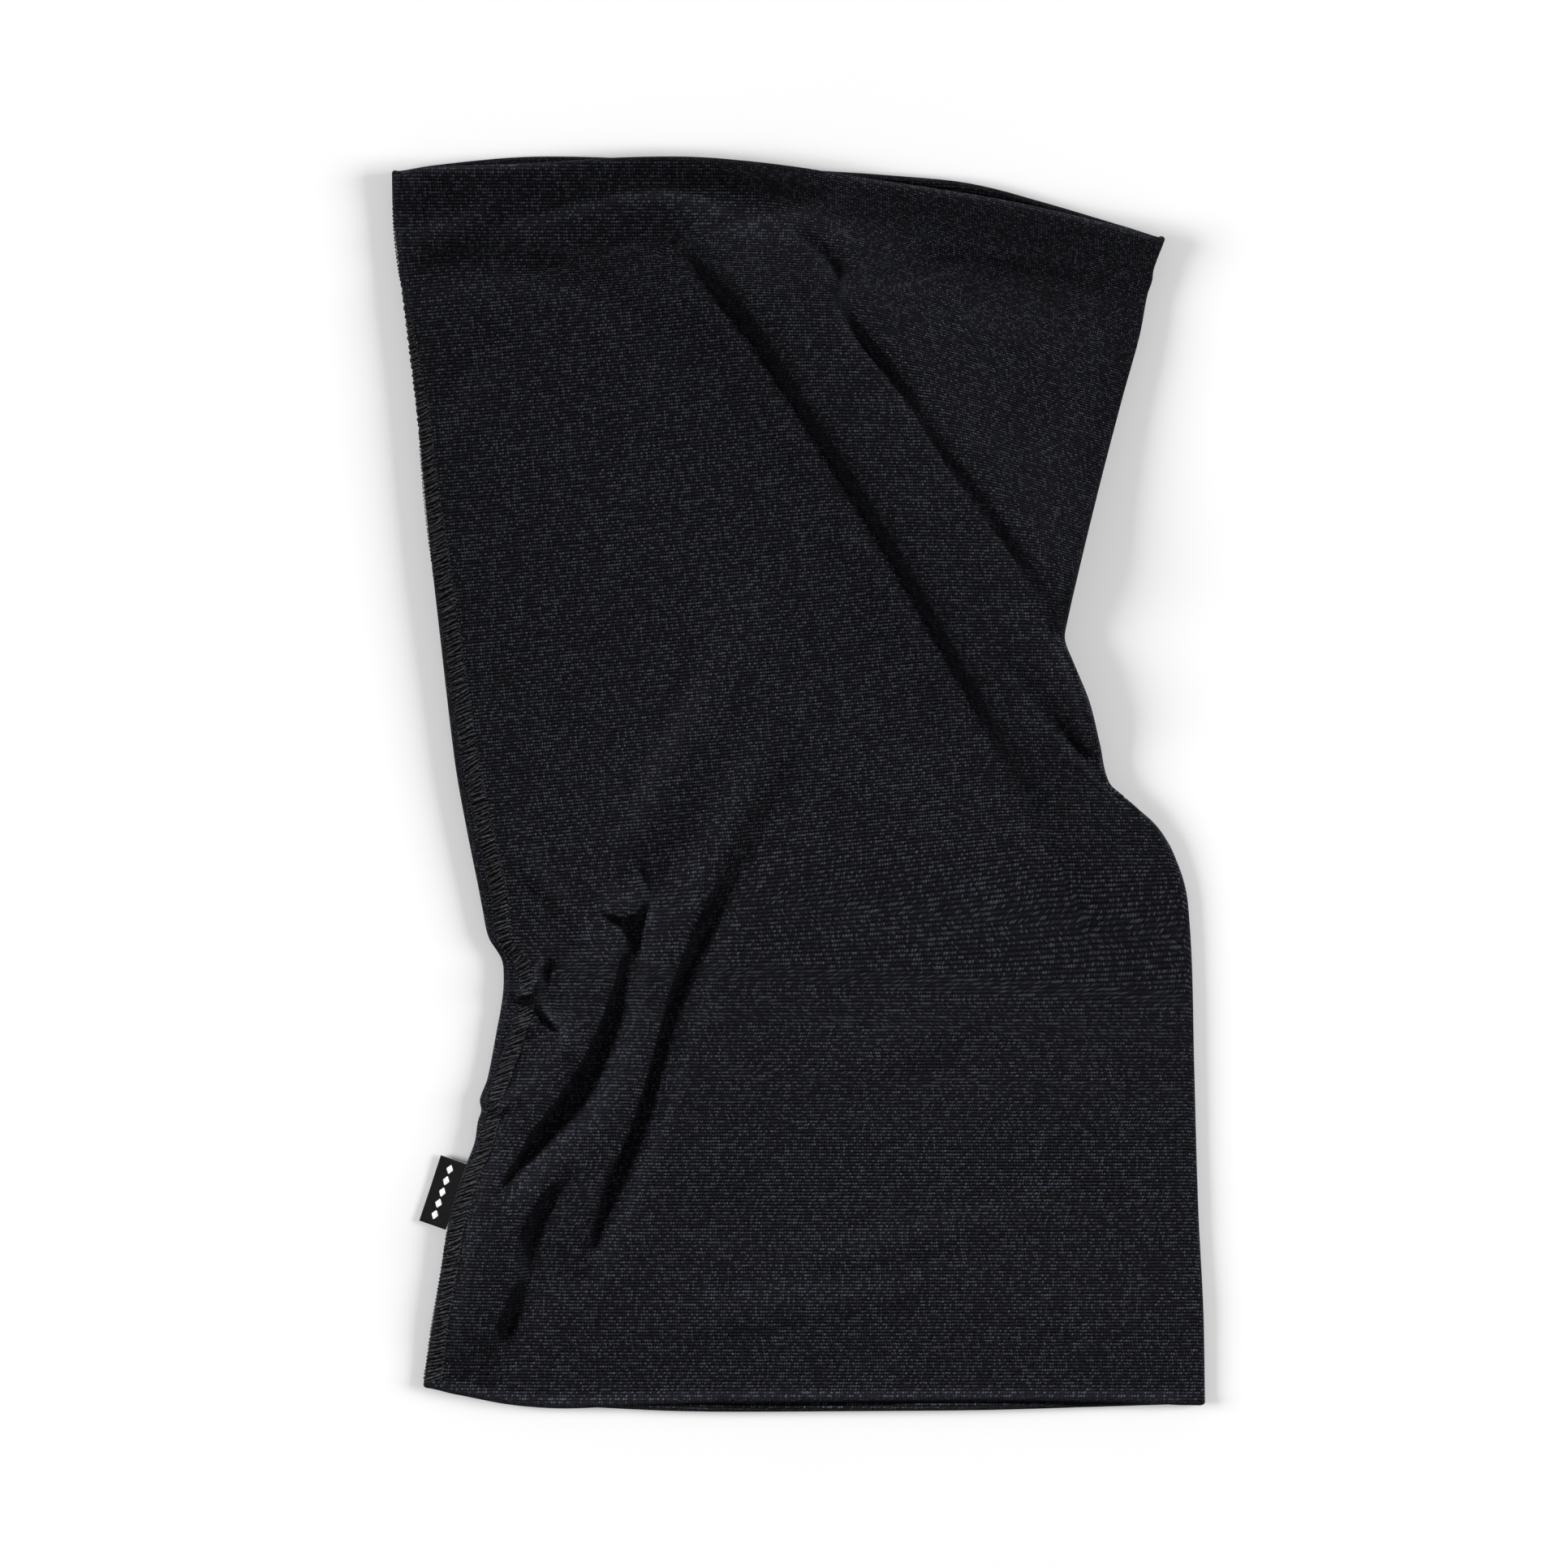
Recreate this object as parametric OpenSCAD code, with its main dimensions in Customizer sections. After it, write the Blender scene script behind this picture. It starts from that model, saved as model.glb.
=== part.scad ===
// Neck gaiter, lying flat: a knitted tube with turned hems, one flatlock side seam and a loop label.
// +X runs across the tube, +Y towards its top mouth, and +Z up from the surface that it lies on.

/* [Fabric] */
// Thickness of one layer of the jersey
fabric_t = 0.7; // [0.6:0.05:0.75]
// Depth of the turned hem at each mouth
hem_depth = 17; // [12:1:22]

/* [Lie of the tube] */
// Thickness across both layers at the folded side edges
edge_h = 3.4; // [3.4:0.1:4]
// Height of the front layer away from the side edges
loft_h = 8; // [7.8:0.1:9]
// How far the side folds stay clear of the surface underneath
edge_lift = 0.8; // [0.8:0.1:1]
// Width over which the tube opens from its side folds to its full height
ramp_w = 18; // [14:1:22]
// Extra height of the diagonal roll and of the other drape ridges
ridge_h = 4; // [1:0.5:6]

/* [Seam] */
// Width of the band of cover thread
seam_w = 5.8; // [4.8:0.1:6]
// Distance from one crossing bar of the cover thread to the next
bar_pitch = 2.8; // [2.4:0.1:4]
// Slant of each crossing bar along the seam
bar_slant = 0.9; // [0:0.1:1]
// Thickness of the sewing threads
thread_t = 0.35; // [0.25:0.05:0.4]

/* [Label] */
// Length of the label along the seam
label_l = 21.8; // [18:0.2:24]
// How far the label stands out from the side edge
label_w = 8.6; // [7:0.2:9]
// Thickness of one layer of the woven tape
tape_t = 0.3; // [0.2:0.05:0.35]
// Number of diamonds in the woven mark
mark_count = 5; // [3:1:7]

/* [Hidden] */

jersey = [0.11, 0.12, 0.145];
cover_grey = [0.2, 0.2, 0.205];
thread_grey = [0.14, 0.14, 0.15];
tape_black = [0.03, 0.03, 0.033];
mark_white = [0.92, 0.92, 0.9];

// The left edge as [y, x], from the bottom mouth to the top mouth.
left_edge = [[-189, -118.5], [-153, -113], [-118, -104.5], [-96, -98.5], [-68, -94], [-57, -93.8],
    [-47, -98], [-6, -106], [80, -116.5], [118, -120], [157, -124.5], [193, -128]];
// The right edge as [y, x]: a waist where the top half of the tube twists over the bottom half.
right_edge = [[-195, 128.2], [-136, 126], [-75, 124], [-36, 122.5], [-12, 112], [0, 98],
    [20, 92.5], [46, 83.5], [84, 92], [133, 104.5], [155, 109.5], [172, 115]];
// How far the middle of each mouth bows out past the line between its corners.
bottom_bow = -6;
top_bow = 12;

// Drape ridges as [start, end, half width, share of ridge_h].
ridges = [
    [[-25, 168], [88, 30], 13, 1],
    [[-8, 22], [-62, -128], 10, 0.8],
    [[-52, -38], [-95, -112], 7, 0.5],
    [[-85, 176], [-38, 178], 10, 0.5],
];

// The seam's centre line as [y, distance in front of the left fold]; below 0 it is on the back.
seam_line = [[-189, 3.4], [-130, 4.6], [-113, 5], [-85, 5.8], [-72, 6.9], [-60, 6.5], [-47, 5.7],
    [-29, 5.8], [30, 5], [80, 3.8], [146, 0], [157, -1.5], [193, -4.5]];

left_y0 = left_edge[0][0];
left_y1 = left_edge[len(left_edge) - 1][0];
right_y0 = right_edge[0][0];
right_y1 = right_edge[len(right_edge) - 1][0];
tube_l = left_y1 - left_y0;
hem_v = hem_depth / tube_l;
fold_r = edge_h / 2;
quarter = fold_r * PI / 2;
skin_gap = 0.2;

ramp_steps = 5;
mid_steps = 7;
fold_steps = 4;
body_rings = 30;

// ---- Curves ----

function mix(a, b, t) = a + (b - a) * t;
function smooth(t) = let (c = min(max(t, 0), 1)) c * c * (3 - 2 * c);

// Smooth curve through [at, value] points, by cubic pieces with averaged slopes.
function slope(p, i) =
    let (a = max(i - 1, 0), b = min(i + 1, len(p) - 1)) (p[b][1] - p[a][1]) / (p[b][0] - p[a][0]);
function piece(p, at, i = 0) = i >= len(p) - 2 || at < p[i + 1][0] ? i : piece(p, at, i + 1);
function curve(p, at) =
    let (i = piece(p, at), w = p[i + 1][0] - p[i][0], t = (at - p[i][0]) / w)
    p[i][1] * (2 * pow(t, 3) - 3 * t * t + 1) + p[i + 1][1] * (3 * t * t - 2 * pow(t, 3))
    + w * slope(p, i) * (pow(t, 3) - 2 * t * t + t) + w * slope(p, i + 1) * (pow(t, 3) - t * t);

// ---- The tube's surface. v is 0 at the bottom mouth and 1 at the top mouth. ----

function left_pt(v) = let (y = mix(left_y0, left_y1, v)) [curve(left_edge, y), y];
function right_pt(v) = let (y = mix(right_y0, right_y1, v)) [curve(right_edge, y), y];
function width(v) = norm(right_pt(v) - left_pt(v));

// Plan position at distance d from the left edge.
function plan(v, d) =
    let (s = d / width(v), bow = mix(bottom_bow, top_bow, v) * (1 - pow(2 * s - 1, 4)))
    mix(left_pt(v), right_pt(v), s) + [0, bow];

// How far the tube has opened, from 0 at a side fold to 1, in straight steps between stations.
opening_steps = [for (k = [0:ramp_steps]) [ramp_w * k / ramp_steps, smooth(k / ramp_steps)]];
function opened(v, d) = lookup(min(d, width(v) - d) - fold_r, opening_steps);

function along(p, a, b) = min(max((p - a) * (b - a) / ((b - a) * (b - a)), 0), 1);
function ridge(p, r) = r[3] * exp(-pow(norm(p - mix(r[0], r[1], along(p, r[0], r[1]))) / r[2], 2));
function drape(p) = ridge_h * max([for (r = ridges) ridge(p, r)]);

function top_z(v, d) = let (o = opened(v, d))
    mix(edge_lift + edge_h, loft_h, o) + pow(o, 3) * drape(plan(v, d));
function bottom_z(v, d) = edge_lift * (1 - opened(v, d));

// Distances from the left edge at which every ring has a point, from one fold to the other.
function stations(v) = let (w = width(v), r = fold_r + ramp_w) concat(
    [for (k = [0:ramp_steps - 1]) fold_r + ramp_w * k / ramp_steps],
    [for (k = [0:mid_steps]) mix(r, w - r, k / mid_steps)],
    [for (k = [ramp_steps - 1:-1:0]) w - fold_r - ramp_w * k / ramp_steps]);

// A point on the round of a side fold. turn is 0 at the underside and 180 on top.
function fold_pt(v, right, turn, inset) =
    let (r = fold_r - inset, reach = fold_r - r * sin(turn), d = right ? width(v) - reach : reach,
        p = plan(v, d))
    [p.x, p.y, edge_lift + fold_r - r * cos(turn)];

// One ring of the tube at a depth of inset under its outer surface.
function ring(v, inset) =
    let (st = stations(v), n = len(st) - 1, arc = [for (k = [1:fold_steps - 1]) 180 * k / fold_steps])
    concat(
        [for (d = st) let (p = plan(v, d)) [p.x, p.y, bottom_z(v, d) + inset]],
        [for (a = arc) fold_pt(v, true, a, inset)],
        [for (k = [n:-1:0]) let (p = plan(v, st[k])) [p.x, p.y, top_z(v, st[k]) - inset]],
        [for (a = arc) fold_pt(v, false, 180 - a, inset)]);

// Triangles between two rings of n points that start at a and b.
function strip(n, a, b) = [for (i = [0:n - 1]) let (j = (i + 1) % n)
    each [[a + i, b + i, a + j], [a + j, b + i, b + j]]];

// A tube wall from v0 to v1, from the outer surface down to the given depth.
module wall(v0, v1, rings, depth) {
    outer = [for (k = [0:rings]) ring(mix(v0, v1, k / rings), 0)];
    inner = [for (k = [0:rings]) ring(mix(v0, v1, k / rings), depth)];
    n = len(outer[0]);
    m = n * (rings + 1);
    polyhedron(
        points = [for (r = concat(outer, inner)) each r],
        faces = concat(
            [for (k = [0:rings - 1]) each strip(n, n * k, n * (k + 1))],
            [for (k = [0:rings - 1]) each strip(n, m + n * (k + 1), m + n * k)],
            strip(n, m, 0),
            strip(n, n * rings, m + n * rings)),
        convexity = 8);
}

// ---- Threads. They follow the tube's flat facets, so they lie on it without cutting it. ----

// A point on a ring, c millimetres round from the left fold, raised off the surface by h.
function wrapped(v, c, h) =
    abs(c) < quarter ? fold_pt(v, false, 90 + 90 * c / quarter, -h)
    : let (d = fold_r + abs(c) - quarter, p = plan(v, d))
    [p.x, p.y, c > 0 ? top_z(v, d) + h : bottom_z(v, d) - h];

// The same point at any y along the tube, in a straight line between the two nearest rings.
ring_vs = concat([0, hem_v / 2], [for (k = [0:body_rings]) mix(hem_v, 1 - hem_v, k / body_rings)],
    [1 - hem_v / 2, 1]);
function ring_below(v, i = 0) = i >= len(ring_vs) - 2 || v < ring_vs[i + 1] ? i : ring_below(v, i + 1);
function on_tube(y, c, h) =
    let (v = (y - left_y0) / tube_l, i = ring_below(v), a = ring_vs[i], b = ring_vs[i + 1])
    mix(wrapped(a, c, h), wrapped(b, c, h), (v - a) / (b - a));
function seam_c(y) = curve(seam_line, y);

// A closed thread of three-sided section through [y, c] points, each section square to the path.
module thread(path, h, size) {
    last = len(path) - 1;
    half = size / 2;
    function dir(i) = let (d = path[i + 1] - path[i]) d / norm(d);
    function side(i) =
        let (a = dir(max(i - 1, 0)), b = dir(min(i, last - 1)), s = a + b)
        half * [-s.y, s.x] / (norm(s) * norm(s) / 2);
    polyhedron(
        points = [for (i = [0:last]) let (p = path[i], s = side(i)) each [
            on_tube(p.x - s.x, p.y - s.y, h),
            on_tube(p.x + s.x, p.y + s.y, h),
            on_tube(p.x, p.y, h + size * sign(h))]],
        faces = h > 0
            ? concat([[0, 1, 2]], [for (i = [0:last - 1]) each strip(3, 3 * i, 3 * i + 3)],
                [[3 * last + 2, 3 * last + 1, 3 * last]])
            : concat([[2, 1, 0]], [for (i = [0:last - 1]) each strip(3, 3 * i + 3, 3 * i)],
                [[3 * last, 3 * last + 1, 3 * last + 2]]),
        convexity = 10);
}

// ---- Sub-parts ----

module knit_tube() {
    color(jersey) wall(hem_v, 1 - hem_v, body_rings, fabric_t);
}

module top_hem() {
    color(jersey) wall(1 - hem_v, 1, 2, 2 * fabric_t);
}

module bottom_hem() {
    color(jersey) wall(0, hem_v, 2, 2 * fabric_t);
}

// The thread that holds a hem's raw edge, lying against that edge inside the tube.
module hem_thread(v_from, v_to) {
    top_of_thread = fabric_t + skin_gap;
    vs = [v_from, v_to, v_to, v_from];
    depths = [top_of_thread, top_of_thread, top_of_thread + thread_t, top_of_thread + thread_t];
    rings = [for (k = [0:3]) ring(vs[k], depths[k])];
    n = len(rings[0]);
    flip = v_from < v_to ? [0, 1, 2, 3] : [0, 3, 2, 1];
    polyhedron(
        points = [for (r = rings) each r],
        faces = [for (k = [0:3]) each strip(n, n * flip[k], n * flip[(k + 1) % 4])],
        convexity = 8);
}

module top_hem_thread() {
    gap_v = skin_gap / tube_l;
    color(thread_grey) hem_thread(1 - hem_v - gap_v, 1 - hem_v - gap_v - thread_t / tube_l);
}

module bottom_hem_thread() {
    gap_v = skin_gap / tube_l;
    color(thread_grey) hem_thread(hem_v + gap_v, hem_v + gap_v + thread_t / tube_l);
}

// The cover thread crosses the seam, runs on along its edge for one pitch, and crosses back.
module seam_cover_thread() {
    start = left_y0 + 1;
    bars = floor((tube_l - 3) / bar_pitch);
    across = [-seam_w / 2, -seam_w / 4, 0, seam_w / 4, seam_w / 2];
    path = [for (i = [0:bars]) let (y = start + bar_pitch * i, way = i % 2 == 0 ? 1 : -1)
        each [for (a = across) [y + bar_slant * (way * a / seam_w + 0.5), seam_c(y) + way * a]]];
    color(cover_grey) thread(path, skin_gap, thread_t);
}

module seam_needle_threads() {
    beside = seam_w / 2 + 0.7;
    step = 5;
    color(thread_grey)
        for (way = [-1, 1])
            thread([for (y = [left_y0 + 1:step:left_y1 - 1]) [y, seam_c(y) + way * beside]],
                skin_gap, thread_t);
}

// The looper thread waves from side to side on the inside of the seam, between the hems.
module seam_looper_thread() {
    wave = 5.6;
    swing = seam_w / 3;
    from = left_y0 + hem_depth + 2;
    to = left_y1 - hem_depth - 2;
    color(thread_grey)
        thread([for (y = [from:wave / 4:to]) [y, seam_c(y) + swing * sin(360 * (y - from) / wave)]],
            -(fabric_t + skin_gap), thread_t);
}

// The label's frame: X out from the edge, Y along it, Z up, and the hinge line at the origin.
label_root = [-108.5, -129.7, 3.2];
label_turn = -18.4;
label_slope = 12;
tape_gap = 0.15;
label_h = 2 * tape_t + tape_gap;

module label_frame() {
    translate(label_root) rotate([0, 0, label_turn]) rotate([0, -label_slope, 0]) children();
}

// Two layers of tape with a round fold at the far end, as one flat block of height h.
module folded_block(h, length, reach) {
    rotate([90, 0, 0]) translate([-reach, 0, 0]) {
        cylinder(h = length, d = h, center = true, $fn = 32);
        translate([0, -h / 2, -length / 2]) cube([reach, h, length]);
    }
}

module label_tape() {
    color(tape_black) label_frame()
        difference() {
            translate([-0.5, 0, 0]) folded_block(label_h, label_l, label_w - label_h);
            translate([0.5, 0, 0]) folded_block(tape_gap, label_l + 1, label_w - label_h / 2);
        }
}

// A row of raised woven diamonds along the label's front.
module label_mark() {
    mark_l = 3.2;
    mark_w = 2.2;
    mark_h = 0.1;
    pitch = (label_l - 3) / mark_count;
    color(mark_white) label_frame()
        for (i = [0:mark_count - 1])
            translate([-label_w / 2, pitch * (i - (mark_count - 1) / 2), label_h / 2 + 0.02])
                linear_extrude(mark_h)
                    polygon([[0, -mark_l / 2], [mark_w / 2, 0], [0, mark_l / 2], [-mark_w / 2, 0]]);
}

knit_tube();
top_hem();
bottom_hem();
top_hem_thread();
bottom_hem_thread();
seam_cover_thread();
seam_needle_threads();
seam_looper_thread();
label_tape();
label_mark();
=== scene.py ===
"""A knitted neck gaiter lying flat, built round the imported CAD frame. Lengths are in millimetres
until a mesh is made, and the frame is the CAD's: X across the tube, Y towards its top mouth, Z up."""
import math
from functools import partial

import bpy
import numpy as np
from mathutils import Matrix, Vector


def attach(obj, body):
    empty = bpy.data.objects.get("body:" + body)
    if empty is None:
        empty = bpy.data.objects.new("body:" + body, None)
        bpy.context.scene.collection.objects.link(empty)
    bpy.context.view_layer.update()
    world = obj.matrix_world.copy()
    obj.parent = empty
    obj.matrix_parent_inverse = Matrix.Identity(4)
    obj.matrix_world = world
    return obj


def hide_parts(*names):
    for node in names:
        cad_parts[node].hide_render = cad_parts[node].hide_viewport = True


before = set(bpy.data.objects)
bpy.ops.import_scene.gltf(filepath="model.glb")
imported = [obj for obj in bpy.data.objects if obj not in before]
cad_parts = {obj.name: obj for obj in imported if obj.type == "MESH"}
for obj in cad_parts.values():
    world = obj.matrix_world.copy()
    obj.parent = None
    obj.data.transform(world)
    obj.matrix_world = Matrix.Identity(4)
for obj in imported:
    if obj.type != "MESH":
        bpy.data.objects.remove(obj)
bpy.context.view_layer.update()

MM = 0.001

# ---- Driving sizes ----
FABRIC_T = 0.7
HEM_DEPTH = 17.0
HEM_ROW = 1.9  # length of cloth between two rows of the grid inside a hem
HEM_STITCH = 2.2
TUBE_ROUND = 490.0
TUBE_LENGTH = 385.0
COURSE = 1.04  # one row of the knit
WALE = 0.84  # one column of the knit
SEAM_W = 6.4
BAR_PITCH = 1.13
BAR_LEAN = 1.3  # how far a bar of the cover thread leans along the seam at its ends
COVER_LIFT = FABRIC_T / 2 + 0.16

# ---- Outline ----
# Side edges as (y, x) from the bottom mouth to the top one.
LEFT_EDGE = [(-189, -118.2), (-172, -115.7), (-153, -112.6), (-140, -110.6), (-127, -107.3),
             (-119.5, -104.6), (-112.5, -102), (-106, -101), (-102.5, -99.9), (-99.3, -100.4), (-96.5, -99.5),
             (-92.6, -98), (-78.7, -95.3), (-66, -93.1), (-58, -92.9), (-54.4, -93.6), (-51.5, -95.3),
             (-49, -97), (-45.9, -98.2), (-40, -99.3), (-31, -101), (-12, -104.8), (7, -108.1), (46, -112.7),
             (84, -116.9), (116, -119.7), (142, -122.7), (161, -125.3), (180, -127.6), (193, -128)]
RIGHT_EDGE = [(-194.5, 127.9), (-166, 127.4), (-134, 125.8), (-89, 124.5), (-57, 123.8),
              (-38, 122.6), (-31, 121.4), (-24, 119), (-18, 116.2), (-12, 111.8), (-5.5, 104.3),
              (0.5, 97.8), (13.5, 94.5), (26.5, 91.2), (39, 86.1), (46, 83.5), (52, 84.3),
              (71, 88.6), (97, 95), (122.5, 101.7), (142, 107.1), (155, 109.6), (159, 111),
              (163, 111.6), (172, 115)]
# Mouth edges as (x, y). The back layer shows past the front one along parts of both mouths.
FRONT_TOP = [(-128, 193), (-106, 194.8), (-75, 195.8), (-55, 196.8), (-34, 196.9), (-14, 195.4),
             (6, 193), (17, 191.5), (42, 187.9), (65, 184.1), (89, 178.7), (115, 172)]
BACK_TOP = [(-128, 193), (-106, 196), (-86, 197.6), (-65, 197.5), (-45, 196.6), (-14, 194.4),
            (17, 193), (29, 192), (48, 190), (58, 188.3), (68, 186), (89, 180.2), (115, 172)]
FRONT_BOTTOM = [(-118.4, -189), (-106, -191.2), (-91, -194), (-75, -195.2), (-57, -194.6), (-30, -193.6),
                (20, -193.1), (60, -192.9), (100, -193.2), (128, -194.5)]
BACK_BOTTOM = [(-118.4, -189), (-96, -193.4), (-75, -195.2), (-45, -196.2), (-24, -196.6), (20, -196.4),
               (60, -196.1), (100, -195.4), (128, -194.6)]

# ---- Grid ----
FRONT_COLS = 224
BACK_COLS = 64
FOLD_COLS = 8
ROWS = 352
HEM_ROWS = 9


def smooth(x):
    x = np.clip(x, 0.0, 1.0)
    return x * x * (3 - 2 * x)


def mix(a, b, t):
    return a + (b - a) * t


def curve(points, at):
    """A smooth curve through (at, value) points, by cubic pieces with averaged slopes."""
    p = np.asarray(points, float)
    at = np.clip(np.asarray(at, float), p[0, 0], p[-1, 0])
    lo = np.maximum(np.arange(len(p)) - 1, 0)
    hi = np.minimum(np.arange(len(p)) + 1, len(p) - 1)
    slope = (p[hi, 1] - p[lo, 1]) / (p[hi, 0] - p[lo, 0])
    i = np.clip(np.searchsorted(p[:, 0], at, side="right") - 1, 0, len(p) - 2)
    w = p[i + 1, 0] - p[i, 0]
    t = (at - p[i, 0]) / w
    return (p[i, 1] * (2 * t**3 - 3 * t**2 + 1) + p[i + 1, 1] * (3 * t**2 - 2 * t**3)
            + w * slope[i] * (t**3 - 2 * t**2 + t) + w * slope[i + 1] * (t**3 - t**2))


def rounded(points, step=2.0):
    """Points along a smooth curve through the given rows of numbers, the first two being x and y."""
    p = np.asarray(points, float)
    at = np.concatenate([[0], np.cumsum(np.linalg.norm(np.diff(p[:, :2], axis=0), axis=1))])
    fine = np.linspace(0, at[-1], max(int(at[-1] / step), 2))
    return np.stack([curve(np.stack([at, p[:, k]], 1), fine) for k in range(p.shape[1])], 1)


class Line:
    """A fold line: rows of (x, y, value, value...). near() gives, for each point of the cloth, the
    signed distance to it (positive on the right of its direction), the values there and the normal."""

    def __init__(self, points):
        self.p = rounded(points)

    def near(self, x, y):
        best = np.full(x.shape, np.inf)
        k = self.p.shape[1] - 2
        value = np.zeros(x.shape + (k,))
        signed = np.zeros(x.shape)
        nx, ny = np.zeros(x.shape), np.zeros(x.shape)
        for a, b in zip(self.p[:-1], self.p[1:]):
            e = b[:2] - a[:2]
            length = np.hypot(*e)
            t = np.clip(((x - a[0]) * e[0] + (y - a[1]) * e[1]) / length**2, 0, 1)
            dx, dy = x - a[0] - t * e[0], y - a[1] - t * e[1]
            d = np.hypot(dx, dy)
            closer = d < best
            best = np.where(closer, d, best)
            side = np.sign(dx * e[1] - dy * e[0])
            signed = np.where(closer, d * side, signed)
            nx, ny = np.where(closer, e[1] / length, nx), np.where(closer, -e[0] / length, ny)
            value = np.where(closer[..., None], mix(a[2:], b[2:], t[..., None]), value)
        return signed, value, nx, ny


def waves(x, y, seed, size, count=24):
    """Smooth random unevenness about as wide as size, between about -1 and 1."""
    rng = np.random.RandomState(seed)
    total = np.zeros(np.shape(x))
    for _ in range(count):
        turn, phase = rng.uniform(0, 2 * math.pi, 2)
        k = 2 * math.pi / (size * rng.uniform(0.7, 1.6))
        total += np.sin(k * (x * math.cos(turn) + y * math.sin(turn)) + phase)
    return total / math.sqrt(count)


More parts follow.
